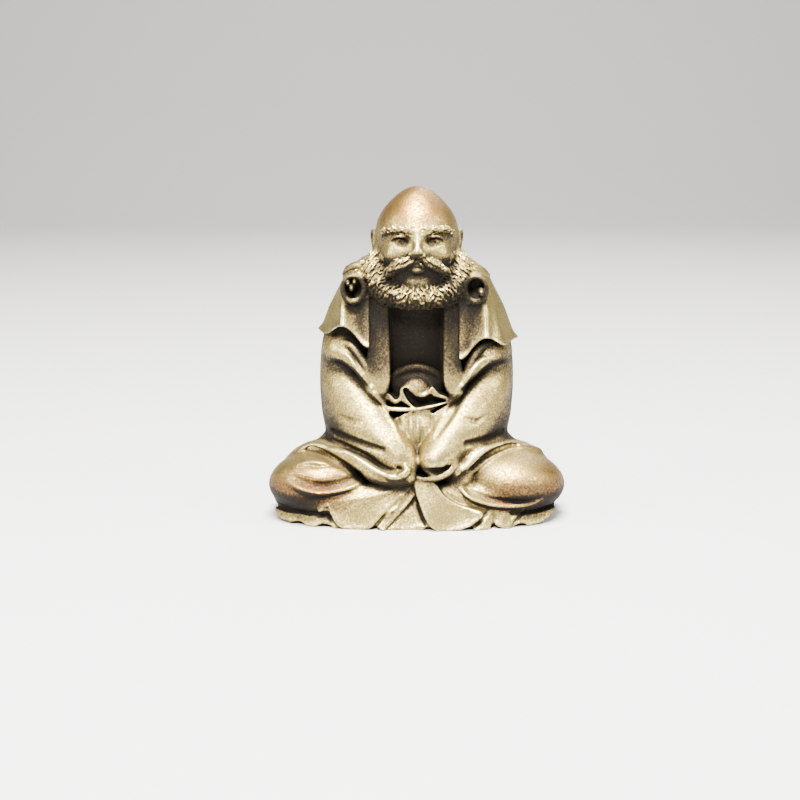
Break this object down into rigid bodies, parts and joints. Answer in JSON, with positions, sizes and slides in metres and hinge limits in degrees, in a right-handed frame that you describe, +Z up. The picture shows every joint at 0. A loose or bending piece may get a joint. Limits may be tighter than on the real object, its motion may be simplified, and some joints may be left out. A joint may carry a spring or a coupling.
{
  "type": "seated monk figurine",
  "caption": "Small patinated bronze casting of a bald, curly-bearded monk in a cape and robe, seated cross-legged with hands in the sleeves, on the spread hem of the robe.",
  "frame": {"origin": "on the ground under the middle of the figure's box", "axes": "+Z up; the figure faces -Y; its own left hand side is at +X"},
  "size_m": [0.0524, 0.0351, 0.0576],
  "materials": {
    "bronze": "cast bronze with a dark olive-brown patina, rubbed bright on the raised folds and reddish on the skull and knees"
  },
  "bodies": {
    "root": {"seated_figure": "bronze"}
  },
  "joints": []
}
